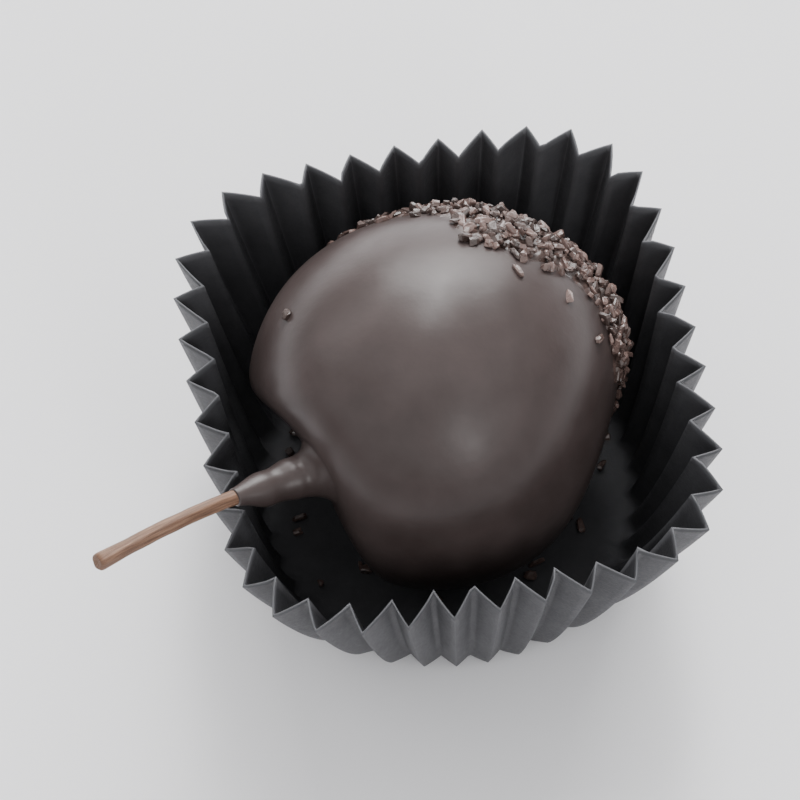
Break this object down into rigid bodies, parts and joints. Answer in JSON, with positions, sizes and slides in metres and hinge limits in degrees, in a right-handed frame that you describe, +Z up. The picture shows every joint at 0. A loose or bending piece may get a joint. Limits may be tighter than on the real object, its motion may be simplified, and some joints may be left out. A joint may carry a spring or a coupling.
{
  "type": "chocolate covered cherry",
  "caption": "Stemmed cherry coated in dark chocolate with a cap of chocolate granules, lying in a pleated black paper case.",
  "frame": {"origin": "centre of the paper case's flat underside", "axes": "+Z up out of the case; +X across the case, away from the side the stem leaves; +Y towards the case's back"},
  "size_m": [0.0499, 0.0414, 0.0313],
  "materials": {
    "paper": "matt, slightly waxy black paper",
    "chocolate": "satin dark chocolate",
    "granules": "glinting chocolate granules",
    "stem": "dry reddish brown fruit stem"
  },
  "bodies": {
    "root": {"paper_case": "paper", "coated_cherry": "chocolate", "granule_coat": "granules", "stem": "stem"}
  },
  "joints": []
}
